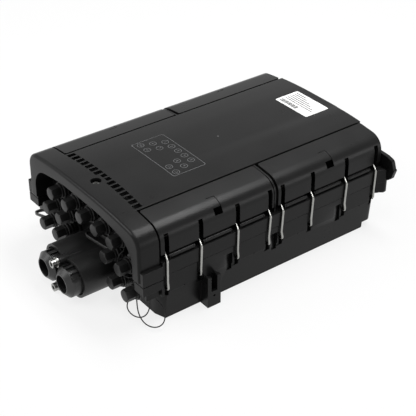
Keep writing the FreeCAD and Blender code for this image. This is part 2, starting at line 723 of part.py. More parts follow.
def splice_sleeves():
    low = tray_low + tray_t
    return Part.makeCompound([along_y(1.4, 22.7 + 5.5 * i, low + 3.4, 32.0, 78.0) for i in range(8)])


def label():
    # Thin film that follows the crown
    film = prism(crown(100.0, -0.2), "xz", 120.0, 170.0).cut(prism(crown(100.0), "xz", 110.0, 175.0))
    plan = [(-29.9, 126.8, 2), (29.9, 126.8, 2), (29.9, 164.6, 2), (-29.9, 164.6, 2)]
    return film.common(prism(plan, "xy", 110, 140))


# Free lanyards: straight runs joined by the largest tangent arcs that they allow
def lanyard(route):
    points = [Vector(*p) for p in route]
    marks = [(points[0], 0)]
    for before, point, after in zip(points, points[1:], points[2:]):
        turn = math.pi - (before - point).getAngle(after - point)
        run = min((before - point).Length, (after - point).Length)
        marks.append((point, 0.45 * run / math.tan(turn / 2)))
    marks.append((points[-1], 0))
    path = track(marks, False)
    section = Part.Wire(Part.Circle(points[0], points[1] - points[0], lanyard_r).toShape())
    tube = Part.Solid(path.makePipeShell([section], True, False))
    radii = " ".join("%.1f" % radius for _, radius in marks[1:-1])
    expected = path.Length * math.pi * lanyard_r ** 2
    print("lanyard length %.1f, radii %s, volume %.1f of %.1f" % (path.Length, radii, tube.Volume, expected))
    return tube


def build():
    parts = {"base_shell": base_shell(), "lid_shell": lid_shell(), "lid_gasket": lid_gasket(),
             "latch_pivot_pins": pivot_pins()}
    for run in lever_runs:
        for side, turn in (("right", lambda shape: shape), ("left", mirrored)):
            parts["latch_lever_%s_%s" % (side, run)] = turn(lever(run))
            parts["latch_wires_%s_%s" % (side, run)] = turn(bails(run))
    for i, (x, z) in enumerate(ports):
        parts["port_adapter_%02d" % (i + 1)] = adapter(x, z)
        parts["dust_cap_%02d" % (i + 1)] = dust_cap(x, z)
    rows = {"top": range(0, 5), "middle": range(5, 9), "bottom": range(9, 13)}
    for row, places in rows.items():
        parts["cap_straps_" + row] = Part.makeCompound([cap_strap(*ports[i], straps[i]) for i in places])
    parts["adapter_nuts"] = Part.makeCompound([adapter_nut(x, z) for x, z in ports])
    parts["gland_sleeve"] = gland_sleeve()
    parts["gland_plug"] = gland_plug()
    parts["gland_seal"] = gland_layer(plug_back, seal_back, sleeve_t, 0.0)
    parts["gland_clamp_plate"] = gland_layer(seal_back, clamp_back, sleeve_t + 0.6, 0.4)
    parts["gland_bolts"] = gland_bolts()
    parts["gland_washers"] = gland_washers()
    parts["lid_screw"] = screw(0, screw_y, top_z - recess_depth, 17.0, 3.7, 2.6, 2.05)
    parts["rear_lug_screws"] = Part.makeCompound(both_sides([rear_screw()]))
    parts["splice_tray"] = splice_tray()
    parts["splice_tray_cover"] = tray_cover()
    parts["splitter_module"] = splitter_module()
    parts["splice_holder"] = splice_holder()
    parts["splice_sleeves"] = splice_sleeves()
    parts["label"] = label()
    for name, route in lanyard_routes.items():
        parts[name] = lanyard(route)
    return parts


os.makedirs("parts", exist_ok=True)
for name, shape in build().items():
    if not shape.isValid():
        print("not valid:", name)
    shape.exportStep("parts/%s.step" % name)
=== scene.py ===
import json
import math
import bmesh
import bpy
from mathutils import Matrix, Vector

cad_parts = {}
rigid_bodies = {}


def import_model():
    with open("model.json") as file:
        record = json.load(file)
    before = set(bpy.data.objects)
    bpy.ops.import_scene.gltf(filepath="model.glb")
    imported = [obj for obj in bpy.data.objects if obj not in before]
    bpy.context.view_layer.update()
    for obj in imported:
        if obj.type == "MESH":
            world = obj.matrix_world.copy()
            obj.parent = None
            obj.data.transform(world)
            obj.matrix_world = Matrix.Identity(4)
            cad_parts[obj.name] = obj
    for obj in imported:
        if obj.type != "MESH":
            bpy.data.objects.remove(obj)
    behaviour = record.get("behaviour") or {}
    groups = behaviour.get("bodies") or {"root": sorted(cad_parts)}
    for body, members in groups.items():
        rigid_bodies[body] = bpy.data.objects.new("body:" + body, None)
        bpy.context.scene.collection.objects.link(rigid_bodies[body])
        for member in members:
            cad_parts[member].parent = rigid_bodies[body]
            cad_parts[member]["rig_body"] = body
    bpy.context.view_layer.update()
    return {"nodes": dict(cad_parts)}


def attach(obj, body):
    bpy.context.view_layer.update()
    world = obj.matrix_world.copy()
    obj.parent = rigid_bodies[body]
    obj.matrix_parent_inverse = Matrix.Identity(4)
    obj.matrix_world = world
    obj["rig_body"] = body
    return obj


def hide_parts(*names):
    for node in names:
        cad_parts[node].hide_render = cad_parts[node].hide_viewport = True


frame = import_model()
scene = bpy.context.scene
scene.view_settings.view_transform = "Standard"
mm = 0.001
white = (1, 1, 1, 1)


def inMetres(*point):
    return Vector([value * mm for value in point])


def linear(hexColour):
    parts = [int(hexColour[i:i + 2], 16) / 255 for i in (1, 3, 5)]
    parts = [p / 12.92 if p <= 0.04045 else ((p + 0.055) / 1.055) ** 2.4 for p in parts]
    return (*parts, 1.0)


def addNode(tree, kind, values=None, links=None, **settings):
    node = tree.nodes.new(kind)
    for key, value in settings.items():
        setattr(node, key, value)
    for key, value in (values or {}).items():
        node.inputs[key].default_value = value
    for key, socket in (links or {}).items():
        tree.links.new(socket, node.inputs[key])
    return node


def newObject(name, data):
    piece = bpy.data.objects.new(name, data)
    scene.collection.objects.link(piece)
    return piece


def closeMesh(work, name, material):
    bmesh.ops.recalc_face_normals(work, faces=work.faces)
    mesh = bpy.data.meshes.new(name)
    work.to_mesh(mesh)
    work.free()
    mesh.materials.append(material)
    return mesh


def smoothMesh(mesh, crease):
    mesh.polygons.foreach_set("use_smooth", [True] * len(mesh.polygons))
    mesh.set_sharp_from_angle(angle=math.radians(crease))


# Camera at the photo's own viewpoint: a long lens, looking down at the right front corner
cameraView = {
    "place": (922.5, -703.1, 787.3), "target": (-34.8, 23.2, 0.0), "lens": 95.8, "sensor": 36, "roll": 0.09,
    "clip": (0.05, 50)}


def makeCamera(view):
    data = bpy.data.cameras.new("photoCamera")
    data.lens = view["lens"]
    data.sensor_width = view["sensor"]
    data.clip_start, data.clip_end = view["clip"]
    camera = newObject("photoCamera", data)
    camera.location = inMetres(*view["place"])
    sight = inMetres(*view["target"]) - camera.location
    roll = Matrix.Rotation(math.radians(view["roll"]), 3, "Z")
    camera.rotation_euler = (sight.to_track_quat("-Z", "Y").to_matrix() @ roll).to_euler()
    scene.camera = camera


makeCamera(cameraView)
print("camera placed")

# Materials: every pattern runs on object coordinates, and its size is in millimetres.
# The colour mix node's sockets are numbered: its two colours, then its result.
mixFrom, mixTo, mixResult = 6, 7, 2
# Most values of a noise lie in this span
noiseSpan = {"From Min": 0.3, "From Max": 0.7}


def newMaterial(name):
    material = bpy.data.materials.new(name)
    material.use_nodes = True
    tree = material.node_tree
    shader = tree.nodes["Principled BSDF"]
    coords = addNode(tree, "ShaderNodeTexCoord").outputs["Object"]
    return material, tree, shader, coords


def toneAndGloss(tree, look, toneNoise, glossNoise):
    tone = addNode(tree, "ShaderNodeMix", {mixFrom: linear(look["dark"]), mixTo: linear(look["light"])},
                   {"Factor": toneNoise.outputs["Fac"]}, data_type="RGBA")
    smooth, rough = look["gloss"]
    gloss = addNode(tree, "ShaderNodeMapRange", {**noiseSpan, "To Min": smooth, "To Max": rough},
                    {"Value": glossNoise.outputs["Fac"]})
    return tone.outputs[mixResult], gloss.outputs["Result"]


def joinSurface(tree, shader, colour, roughness, normal):
    tree.links.new(colour, shader.inputs["Base Color"])
    tree.links.new(roughness, shader.inputs["Roughness"])
    tree.links.new(normal, shader.inputs["Normal"])


# What all mouldings share: refractive index, height of the grain, how far an edge turns before it is rubbed
# and given a painted sheen, how closed in a spot is before it is a hollow with painted shade, and how rough
# a hollow is
moulding = {
    "ior": 1.49, "grainHeight": 0.12, "rubSheenFrom": 0.995, "rubSheenTo": 0.8, "hollowFrom": 0.7, "hollowTo": 0.4,
    "hollowRough": 0.9}


# Injection-moulded plastic: a fine spark-eroded grain that breaks up the gloss, slow flow clouds, edges
# rubbed lighter and given a painted sheen, and slots and holes made dull and painted dark as shade
def mouldedPlastic(name, look):
    material, tree, shader, coords = newMaterial(name)
    shader.inputs["IOR"].default_value = moulding["ior"]
    shader.inputs["Specular IOR Level"].default_value = look["specular"]
    grain = addNode(tree, "ShaderNodeTexNoise",
                    {"Scale": 1 / (look["grain"] * mm), "Detail": 2.0, "Roughness": 0.6},
                    {"Vector": coords})
    clouds = addNode(tree, "ShaderNodeTexNoise",
                     {"Scale": 1 / (look["cloud"] * mm), "Detail": 4.0, "Roughness": 0.55},
                     {"Vector": coords})
    rounded = addNode(tree, "ShaderNodeBevel", {"Radius": look["edge"] * mm}, samples=4)
    bump = addNode(tree, "ShaderNodeBump",
                   {"Strength": look["bump"], "Distance": moulding["grainHeight"] * mm},
                   {"Height": grain.outputs["Fac"], "Normal": rounded.outputs["Normal"]})
    flat = addNode(tree, "ShaderNodeNewGeometry")
    turn = addNode(tree, "ShaderNodeVectorMath", None,
                   {0: rounded.outputs["Normal"], 1: flat.outputs["Normal"]}, operation="DOT_PRODUCT")
    rubAndSheen = addNode(tree, "ShaderNodeMapRange",
                  {"From Min": moulding["rubSheenFrom"], "From Max": moulding["rubSheenTo"]},
                  {"Value": turn.outputs["Value"]})
    tone, gloss = toneAndGloss(tree, look, clouds, clouds)
    # Painted sheen: where the rounded normal turns away from the flat one, the tone goes lighter, partly as
    # rubbed wear
    wornSheen = addNode(tree, "ShaderNodeMix", {mixTo: linear(look["wornSheen"])},
                   {"Factor": rubAndSheen.outputs["Result"], mixFrom: tone}, data_type="RGBA")
    # Painted shade: spots closed in by nearby surfaces are darkened towards the hollow shade tone and made
    # rougher
    clear = addNode(tree, "ShaderNodeAmbientOcclusion", {"Distance": look["hollow"] * mm}, samples=8)
    hollow = addNode(tree, "ShaderNodeMapRange",
                     {"From Min": moulding["hollowFrom"], "From Max": moulding["hollowTo"]},
                     {"Value": clear.outputs["AO"]})
    hollowShade = addNode(tree, "ShaderNodeMix", {mixTo: linear(look["hollowShade"])},
                   {"Factor": hollow.outputs["Result"], mixFrom: wornSheen.outputs[mixResult]}, data_type="RGBA")
    dull = addNode(tree, "ShaderNodeMapRange", {"To Max": moulding["hollowRough"]},
                   {"Value": hollow.outputs["Result"], "To Min": gloss})
    joinSurface(tree, shader, hollowShade.outputs[mixResult], dull.outputs["Result"], bump.outputs["Normal"])
    return material


# Metal with fine lines left by drawing or turning, which run along one axis
metalLines = {"height": 0.03, "bump": 0.15}


def drawnMetal(name, look):
    material, tree, shader, coords = newMaterial(name)
    shader.inputs["Metallic"].default_value = 1.0
    stretch = addNode(tree, "ShaderNodeMapping", {"Scale": look["stretch"]}, {"Vector": coords})
    lines = addNode(tree, "ShaderNodeTexNoise", {"Scale": 1 / (look["line"] * mm), "Detail": 3.0},
                    {"Vector": stretch.outputs["Vector"]})
    spots = addNode(tree, "ShaderNodeTexNoise", {"Scale": 1 / (look["spot"] * mm), "Detail": 3.0},
                    {"Vector": coords})
    tone, gloss = toneAndGloss(tree, look, spots, lines)
    bump = addNode(tree, "ShaderNodeBump",
                   {"Strength": metalLines["bump"], "Distance": metalLines["height"] * mm},
                   {"Height": lines.outputs["Fac"]})
    joinSurface(tree, shader, tone, gloss, bump.outputs["Normal"])
    return material


# Print, film, rubber and plain plastic: one tone with a soft mottle and a fine tooth
toothHeight = 0.05


def mattSurface(name, look):
    material, tree, shader, coords = newMaterial(name)
    shader.inputs["Specular IOR Level"].default_value = look["specular"]
    tooth = addNode(tree, "ShaderNodeTexNoise", {"Scale": 1 / (look["tooth"] * mm), "Detail": 3.0},
                    {"Vector": coords})
    mottle = addNode(tree, "ShaderNodeTexNoise", {"Scale": 1 / (look["mottle"] * mm), "Detail": 3.0},
                     {"Vector": coords})
    tone, gloss = toneAndGloss(tree, look, mottle, mottle)
    bump = addNode(tree, "ShaderNodeBump", {"Strength": look["bump"], "Distance": toothHeight * mm},
                   {"Height": tooth.outputs["Fac"]})
    joinSurface(tree, shader, tone, gloss, bump.outputs["Normal"])
    return material


# Glass-filled polypropylene of the lid and base. The grain is drawn at 0.9 mm, three times the real one,
# so that it shows at all.
housingPlastic = mouldedPlastic("housingPolypropylene", {
    "dark": "#181818", "light": "#1d1d1d", "wornSheen": "#272727", "hollowShade": "#080808", "hollow": 6, "grain": 0.9,
    "cloud": 45, "bump": 0.12, "edge": 0.6, "gloss": (0.27, 0.35), "specular": 0.15})
# The same plastic in the wells under the levers, painted near-black and dull as the shade that lies there
wellShadePlastic = mattSurface("wellPaintedShade", {
    "dark": "#070707", "light": "#0a0a0a", "tooth": 0.6, "mottle": 12, "bump": 0.2, "gloss": (0.8, 0.9),
    "specular": 0.1})
# The same plastic gone pale where the runner of the mould was torn off
gatePlastic = mattSurface("gatePolypropylene", {
    "dark": "#4a4a4a", "light": "#565656", "tooth": 0.3, "mottle": 1, "bump": 0.2, "gloss": (0.5, 0.6),
    "specular": 0.3})
# The levers come from a smoother mould, so light draws out in a brighter band along their bend
leverPlastic = mouldedPlastic("leverPolypropylene", {
    "dark": "#181818", "light": "#1d1d1d", "wornSheen": "#272727", "hollowShade": "#080808", "hollow": 4, "grain": 0.8,
    "cloud": 40, "bump": 0.1, "edge": 0.3, "gloss": (0.27, 0.34), "specular": 0.18})
# Tough polyamide of the dust caps, a little greyer than the housing
capPlastic = mouldedPlastic("capPolyamide", {
    "dark": "#202020", "light": "#272727", "wornSheen": "#2f2f2f", "hollowShade": "#0c0c0c", "hollow": 3, "grain": 0.6,
    "cloud": 9, "bump": 0.2, "edge": 0.3, "gloss": (0.38, 0.48), "specular": 0.28})
# Polycarbonate of the port adapters
adapterPlastic = mouldedPlastic("adapterPolycarbonate", {
    "dark": "#171717", "light": "#1c1c1c", "wornSheen": "#272727", "hollowShade": "#0a0a0a", "hollow": 3, "grain": 0.6,
    "cloud": 9, "bump": 0.15, "edge": 0.25, "gloss": (0.34, 0.44), "specular": 0.22})
# Polyamide of the gland's plug; its lighter tone and much lighter edges are painted light on its brightly
# lit face and chamfer ring
glandPlastic = mouldedPlastic("glandPolyamide", {
    "dark": "#1e1e1e", "light": "#242424", "wornSheen": "#383838", "hollowShade": "#0c0c0c", "hollow": 4, "grain": 0.7,
    "cloud": 22, "bump": 0.12, "edge": 0.5, "gloss": (0.3, 0.38), "specular": 0.55})
# The gland's sleeve is blacker than its plug, and its dull gloss spreads the light from above in a streak
sleevePlastic = mouldedPlastic("glandSleevePolyamide", {
    "dark": "#141414", "light": "#191919", "wornSheen": "#262626", "hollowShade": "#0a0a0a", "hollow": 4, "grain": 0.7,
    "cloud": 22, "bump": 0.12, "edge": 0.5, "gloss": (0.42, 0.48), "specular": 0.5})
# Soft elastomer of the cap straps
strapRubber = mattSurface("strapElastomer", {
    "dark": "#2b2b2b", "light": "#343434", "tooth": 0.5, "mottle": 7, "bump": 0.2, "gloss": (0.42, 0.55),
    "specular": 0.4})
# Rubber of the lid gasket and the gland seal
sealRubber = mattSurface("sealEpdm", {
    "dark": "#161616", "light": "#1d1d1d", "tooth": 0.6, "mottle": 6, "bump": 0.3, "gloss": (0.6, 0.75),
    "specular": 0.3})
# Nylon sheath of the lanyards
cordSheath = mattSurface("lanyardNylon", {
    "dark": "#0b0b0b", "light": "#121212", "tooth": 0.4, "mottle": 3, "bump": 0.2, "gloss": (0.4, 0.52),
    "specular": 0.25})
# Bright drawn wire of the bails, zinc-plated fasteners, and the dark oiled pins of the levers
springSteel = drawnMetal("springSteelWire", {
    "dark": "#8f8f8c", "light": "#adada9", "line": 0.25, "spot": 5, "stretch": (1, 1, 0.06),
    "gloss": (0.24, 0.36)})
zincSteel = drawnMetal("zincPlatedSteel", {
    "dark": "#8c8c8a", "light": "#acaca9", "line": 0.3, "spot": 2, "stretch": (1, 0.08, 1),
    "gloss": (0.2, 0.32)})
pinSteel = drawnMetal("oiledPinSteel", {
    "dark": "#2b2b2a", "light": "#3a3a39", "line": 0.3, "spot": 2, "stretch": (1, 0.08, 1),
    "gloss": (0.35, 0.5)})
# Polyester film of the label, its print, and the grey print on the lid
labelFilm = mattSurface("labelPolyester", {
    "dark": "#f1f1f0", "light": "#f7f7f6", "tooth": 0.3, "mottle": 12, "bump": 0.06, "gloss": (0.45, 0.55),
    "specular": 0.3})
labelInk = mattSurface("labelPrint", {
    "dark": "#2e2e2f", "light": "#3a3a3b", "tooth": 0.25, "mottle": 3, "bump": 0.05, "gloss": (0.5, 0.6),
    "specular": 0.3})
lidInk = mattSurface("lidPrint", {
    "dark": "#626364", "light": "#6e6f70", "tooth": 0.25, "mottle": 4, "bump": 0.05, "gloss": (0.5, 0.6),
    "specular": 0.3})
# Inside: pale plastic of the tray and holder, its smooth cover, the splitter's case, and the splice sleeves
trayPlastic = mouldedPlastic("trayAbs", {
    "dark": "#bfc0bd", "light": "#c9cac7", "wornSheen": "#d4d5d2", "hollowShade": "#a9aaa7", "hollow": 4, "grain": 0.6,
    "cloud": 30, "bump": 0.12, "edge": 0.3, "gloss": (0.4, 0.5), "specular": 0.5})
coverPlastic = mattSurface("trayCoverPolycarbonate", {
    "dark": "#cdd0d0", "light": "#d8dbdb", "tooth": 0.6, "mottle": 20, "bump": 0.03, "gloss": (0.12, 0.2),
    "specular": 0.5})
splitterMetal = drawnMetal("splitterAluminium", {
    "dark": "#b4b5b6", "light": "#c6c7c8", "line": 0.3, "spot": 8, "stretch": (1, 0.06, 1),
    "gloss": (0.3, 0.42)})
splicePlastic = mattSurface("spliceSleevePolyolefin", {
    "dark": "#d3d5d4", "light": "#dfe1e0", "tooth": 0.5, "mottle": 4, "bump": 0.05, "gloss": (0.2, 0.3),
    "specular": 0.5})
print("materials made")

# Cap lanyards: thin nylon cords, two from the lowest right cap to the lug under the ear and one above.
# Each has its length in metres and its route.
lanyards = {
    "diameter": 1.4, "steps": 16, "sides": 4,
    "routes": {
        "cap_lanyard_near": (0.0689, [
            (84.5, -172.5, 22.4), (81.8, -177.6, 16.6), (85.2, -182.6, 11.6), (91.6, -183.8, 8.4),
            (99.0, -183.0, 7.2), (106.5, -180.5, 8.0), (112.2, -177.0, 11.4), (114.8, -173.2, 17.4),
            (113.8, -170.0, 25.0), (113.4, -169.6, 33.0)]),
        "cap_lanyard_far": (0.0912, [
            (91.0, -172.5, 21.0), (94.0, -174.4, 11.4), (103.0, -177.0, 5.0), (114.4, -178.0, 3.0),
            (125.2, -176.2, 4.2), (130.8, -171.0, 5.4), (131.8, -164.6, 8.4), (129.4, -160.4, 14.2),
            (124.6, -159.0, 21.2), (118.4, -160.0, 27.0), (114.2, -161.8, 28.6), (113.4, -162.2, 33.0)]),
        "cap_lanyard_upper": (0.0710, [
            (71.1, -172.5, 80.3), (72.6, -174.0, 78.8), (70.5, -178.0, 74.0), (67.2, -179.5, 67.7),
            (67.3, -179.5, 59.4), (71.4, -178.5, 49.4), (80.0, -177.6, 46.8), (88.6, -175.0, 50.6),
            (96.4, -171.6, 55.6), (104.6, -170.0, 55.6)])}}


def makeLanyards(size):
    for node, (length, route) in size["routes"].items():
        curve = bpy.data.curves.new(node + "Cord", "CURVE")
        curve.dimensions = "3D"
        curve.resolution_u = size["steps"]
        curve.bevel_depth = size["diameter"] / 2 * mm
        curve.bevel_resolution = size["sides"]
        curve.use_fill_caps = True
        spline = curve.splines.new("NURBS")
        spline.points.add(len(route) - 1)
        for point, place in zip(spline.points, route):
            point.co = (*inMetres(*place), 1.0)
        spline.order_u = 3
        spline.use_endpoint_u = True
        curve.materials.append(cordSheath)
        cord = newObject(node + "Cord", curve)
        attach(cord, "housing")
        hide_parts(node)


makeLanyards(lanyards)
print("lanyards hung")

# Pieces that keep the shape of their solid: a merged copy with smooth curves and crisp edges
solidCopy = {"weld": 0.002, "crease": 30}


def refine(node, name, material):
    solid = frame["nodes"][node]
    mesh = solid.data.copy()
    mesh.name = name
    if "custom_normal" in mesh.attributes:
        mesh.attributes.remove(mesh.attributes["custom_normal"])
    work = bmesh.new()
    work.from_mesh(mesh)
    bmesh.ops.remove_doubles(work, verts=work.verts, dist=solidCopy["weld"] * mm)
    work.to_mesh(mesh)
    work.free()
    mesh.materials.clear()
    mesh.materials.append(material)
    smoothMesh(mesh, solidCopy["crease"])
    piece = newObject(name, mesh)
    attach(piece, solid["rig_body"])
    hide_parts(node)
    return piece


# The wells under the levers, which show through the slots and pry holes; their faces are painted near-black
# as shade
leverWell = {"half": 97.4, "top": 118.3, "low": 84.0, "front": -156.0, "rear": 174.4}


def dullWells(piece, size):
    mesh = piece.data
    mesh.materials.append(wellShadePlastic)
    # Faces inside the wells get the near-black painted shade
    for polygon in mesh.polygons:
        x, y, z = [value / mm for value in polygon.center]
        inWell = abs(x) < size["half"] and size["low"] < z < size["top"]
        if inWell and size["front"] < y < size["rear"]:
            polygon.material_index = 1


dullWells(refine("lid_shell", "hubLid", housingPlastic), leverWell)
refine("base_shell", "hubBase", housingPlastic)
for side in ("right", "left"):
    for run in ("front", "rear"):
        leverName = "latchLever" + side.title() + run.title()
        refine("latch_lever_%s_%s" % (side, run), leverName, leverPlastic)
for number in range(1, 14):
    refine("port_adapter_%02d" % number, "portAdapter%02d" % number, adapterPlastic)
refine("gland_sleeve", "glandSleeve", sleevePlastic)
refine("gland_plug", "glandPlug", glandPlastic)
refine("gland_bolts", "glandBolts", zincSteel)
refine("gland_washers", "glandWashers", zincSteel)
refine("latch_pivot_pins", "latchPivotPins", pinSteel)
print("housing, levers, adapters and gland dressed")

# Nodes that keep their own mesh: those inside the box, and the screws
plainFinish = {
    "lid_gasket": sealRubber, "gland_seal": sealRubber, "gland_clamp_plate": zincSteel,
    "adapter_nuts": adapterPlastic, "splice_tray": trayPlastic, "splice_tray_cover": coverPlastic,
    "splitter_module": splitterMetal, "splice_holder": trayPlastic, "splice_sleeves": splicePlastic,
    "lid_screw": zincSteel, "rear_lug_screws": zincSteel}
for node, finish in plainFinish.items():
    mesh = frame["nodes"][node].data
    mesh.materials.clear()
    mesh.materials.append(finish)
print("inner pieces finished")


# Geometry node trees: a named input for each size, one plain mesh at the end
def newTree(name, inputs):
    tree = bpy.data.node_groups.new(name, "GeometryNodeTree")
    tree.interface.new_socket("Geometry", in_out="INPUT", socket_type="NodeSocketGeometry")
    for label, kind in inputs.items():
        tree.interface.new_socket(label, in_out="INPUT", socket_type="NodeSocket" + kind)
    tree.interface.new_socket("Geometry", in_out="OUTPUT", socket_type="NodeSocketGeometry")
    given = addNode(tree, "NodeGroupInput").outputs
    return tree, given


def closeTree(tree, given, geometry):
    real = addNode(tree, "GeometryNodeRealizeInstances", None, {"Geometry": geometry})
    finish = addNode(tree, "GeometryNodeSetMaterial", None,
                     {"Geometry": real.outputs["Geometry"], "Material": given["Finish"]})
    addNode(tree, "NodeGroupOutput", None, {"Geometry": finish.outputs["Geometry"]})


def runTree(name, start, tree, values):
    piece = newObject(name, start)
    modifier = piece.modifiers.new(name, "NODES")
    modifier.node_group = tree
    for item in tree.interface.items_tree:
        if item.in_out == "INPUT" and item.name in values:
            modifier[item.identifier] = values[item.name]
    plain = plainMesh(piece)
    plain.name = name
    piece.modifiers.remove(modifier)
    piece.data = plain
    return piece


def plainMesh(piece):
    return bpy.data.meshes.new_from_object(piece.evaluated_get(bpy.context.evaluated_depsgraph_get()))


def pathMesh(name, paths):
    mesh = bpy.data.meshes.new(name)
    points, edges = [], []
    for path in paths:
        first = len(points)
        points += [inMetres(*p) for p in path]
        edges += [(first + i, first + i + 1) for i in range(len(path) - 1)]
    mesh.from_pydata(points, edges, [])
    return mesh


# Latch bails: bright spring wire, bent round over the ledge and into the catches. Points are (x, z),
# places are along Y, and each leg has its own slight bow.
bailWire = {
    "radius": 1.5, "sides": 18, "bend": 3.4, "bendSteps": 7, "splay": 0.5, "shift": 3.2,
    "outside": [(115.8, 42.2), (122.4, 42.2)], "legTop": (122.4, 81.8),
    "inside": [(112.6, 86.6), (107.4, 88.6), (107.0, 104.0)],
    "bowAt": 54.0, "footAt": 47.0, "footBow": 0.3,
    "places": {"front": (-151.0, -104.7, -53.0, -5.5), "rear": (13.4, 59.6, 113.5, 162.2)},
    "bows": {"front": (-0.2, -0.9, -0.5, -1.8), "rear": (-1.6, -1.4, -1.4, -0.8)}}


def wireTree(size):
    tree, given = newTree("bailWire", {"Wire radius": "Float", "Bend radius": "Float", "Finish": "Material"})
    path = addNode(tree, "GeometryNodeMeshToCurve", None, {"Mesh": given["Geometry"]})
    bent = addNode(tree, "GeometryNodeFilletCurve", {"Count": size["bendSteps"], "Limit Radius": True},
                   {"Curve": path.outputs["Curve"], "Radius": given["Bend radius"]}, mode="POLY")
    ring = addNode(tree, "GeometryNodeCurvePrimitiveCircle", {"Resolution": size["sides"]},
                   {"Radius": given["Wire radius"]})
    wire = addNode(tree, "GeometryNodeCurveToMesh", {"Fill Caps": True},
                   {"Curve": bent.outputs["Curve"], "Profile Curve": ring.outputs["Curve"]})
    smooth = addNode(tree, "GeometryNodeSetShadeSmooth", None, {"Geometry": wire.outputs["Mesh"]})
    closeTree(tree, given, smooth.outputs["Geometry"])
    return tree


def bailLeg(size, y, splay, bow):
    leg = [(x, y + splay, z) for x, z in size["outside"]]
    outer, top = size["legTop"]
    leg.append((outer, y + splay + bow * size["footBow"], size["footAt"]))
    leg.append((outer, y + bow, size["bowAt"]))
    leg.append((outer, y, top))
    return leg + [(x, y + size["shift"], z) for x, z in size["inside"]]


def bailPath(size, sideSign, front, rear):
    up = bailLeg(size, front[0], size["splay"], front[1])
    down = list(reversed(bailLeg(size, rear[0], -size["splay"], rear[1])))
    return [(x * sideSign, y, z) for x, y, z in up + down]


def makeBails(size):
    tree = wireTree(size)
    for side, sideSign in (("right", 1), ("left", -1)):
        for run, ys in size["places"].items():
            legs = list(zip(ys, size["bows"][run]))
            paths = [bailPath(size, sideSign, *legs[:2]), bailPath(size, sideSign, *legs[2:])]
            name = "latchBails" + side.title() + run.title()
            bails = runTree(name, pathMesh(name, paths), tree, {
                "Wire radius": size["radius"] * mm, "Bend radius": size["bend"] * mm, "Finish": springSteel})
            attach(bails, "bails_%s_%s" % (side, run))
            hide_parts("latch_wires_%s_%s" % (side, run))


makeBails(bailWire)
print("bails bent")

# Ports, in the order of their numbers: axis across and up
portPlaces = [(x, 87.7) for x in (-63.7, -31.7, 0.0, 31.7, 63.7)]
portPlaces += [(x, 60.4) for x in (-77.9, -48.6, 48.6, 77.9)]
portPlaces += [(x, 31.4) for x in (-89.9, -60.4, 60.4, 89.9)]

# Dust cap: hexagonal grip with a crowned end, skirt and rim. Profile is (radius, place along Y).
dustCap = {
    "flats": 14.2, "steps": 96, "crease": 24, "gripEnd": -175.8,
    "grip": [(0.0, -188.3), (6.3, -188.3), (6.8, -188.22), (7.2, -188.05), (7.6, -187.8), (7.9, -187.4),
             (8.2, -186.8), (8.6, -186.0), (8.9, -185.2), (8.9, -176.4), (8.86, -175.9)],
    "skirt": [(8.9, -175.7), (8.9, -168.9), (9.5, -168.7), (9.8, -168.4), (9.8, -167.3), (9.5, -167.0),
              (7.75, -167.0), (7.55, -167.4), (7.55, -175.45), (0.0, -175.45)]}


def hexReach(flats, angle):
    half = math.radians(30)
    part = (angle + half) % math.radians(60) - half
    return flats / 2 / math.cos(half - abs(part))


def capRing(work, size, portX, portZ, radius, y):
    if radius == 0:
        return [work.verts.new(inMetres(portX, y, portZ))]
    ring = []
    for i in range(size["steps"]):
        angle = 2 * math.pi * i / size["steps"]
        reach = radius
        if y < size["gripEnd"]:
            reach = min(radius, hexReach(size["flats"], angle))
        place = inMetres(portX + reach * math.cos(angle), y, portZ + reach * math.sin(angle))
        ring.append(work.verts.new(place))
    return ring


def makeCaps(size):
    steps = size["steps"]
    for number, (portX, portZ) in enumerate(portPlaces, 1):
        work = bmesh.new()
        rings = [capRing(work, size, portX, portZ, radius, y) for radius, y in size["grip"] + size["skirt"]]
        for inner, outer in zip(rings, rings[1:]):
            for i in range(steps):
                j = (i + 1) % steps
                quad = [inner[i % len(inner)], inner[j % len(inner)], outer[j % len(outer)],
                        outer[i % len(outer)]]
                work.faces.new(list(dict.fromkeys(quad)))
        name = "dustCap%02d" % number
        mesh = closeMesh(work, name, capPlastic)
        smoothMesh(mesh, size["crease"])
        cap = newObject(name, mesh)
        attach(cap, "cap_%02d" % number)
        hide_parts("dust_cap_%02d" % number)


makeCaps(dustCap)
print("dust caps turned")

# Cap straps: a ring round each cap and a soft band that humps back to the adapter.
# Each band has its direction round the port and how far it stands out.
capStraps = {
    "lies": [(320, 17.5), (318, 17.5), (322, 17.5), (316, 17.5), None,
             (212, 52.0), (128, 17.5), (187, 62.0), (75, 17.5),
             (196.5, 47.8), (125, 17.5), (60, 17.5), None],
    "rows": {"top": range(0, 5), "middle": range(5, 9), "bottom": range(9, 13)},
    "width": 4.2, "thickness": 1.3, "bandSoft": 0.4, "bandSteps": 10, "crease": 50,
    "ringInner": 9.15, "ringOuter": 10.4, "ringFront": -173.6, "ringRear": -171.4, "ringSoft": 0.35,
    "ringSteps": 64, "root": 0.7, "rise": 1.6, "lean": 2.0, "leanStart": 0.3, "swellShare": 0.72,
    "swellFrom": 3.0, "bulge": 1.4, "rear": -161.8, "rearStep": 1.0, "collar": 9.9, "collarStep": 0.3,
    "collarSeat": 0.2}


# Skins the gap between each ring of points and the next
def skinRings(work, pairs):
    for ring, after in pairs:
        for k in range(len(ring)):
            n = (k + 1) % len(ring)
            work.faces.new([ring[k], ring[n], after[n], after[k]])


def strapRing(work, size, place):
    inner, outer, front, rear = size["ringInner"], size["ringOuter"], size["ringFront"], size["ringRear"]
    soft = size["ringSoft"]
    profile = [(inner, front + soft), (inner + soft, front), (outer - soft, front), (outer, front + soft),
               (outer, rear - soft), (outer - soft, rear), (inner + soft, rear), (inner, rear - soft)]
    rings = []
    for i in range(size["ringSteps"]):
        angle = 2 * math.pi * i / size["ringSteps"]
        spots = [inMetres(r * math.cos(angle), y, r * math.sin(angle)) for r, y in profile]
        rings.append([work.verts.new(place @ spot) for spot in spots])
    skinRings(work, zip(rings, rings[1:] + rings[:1]))


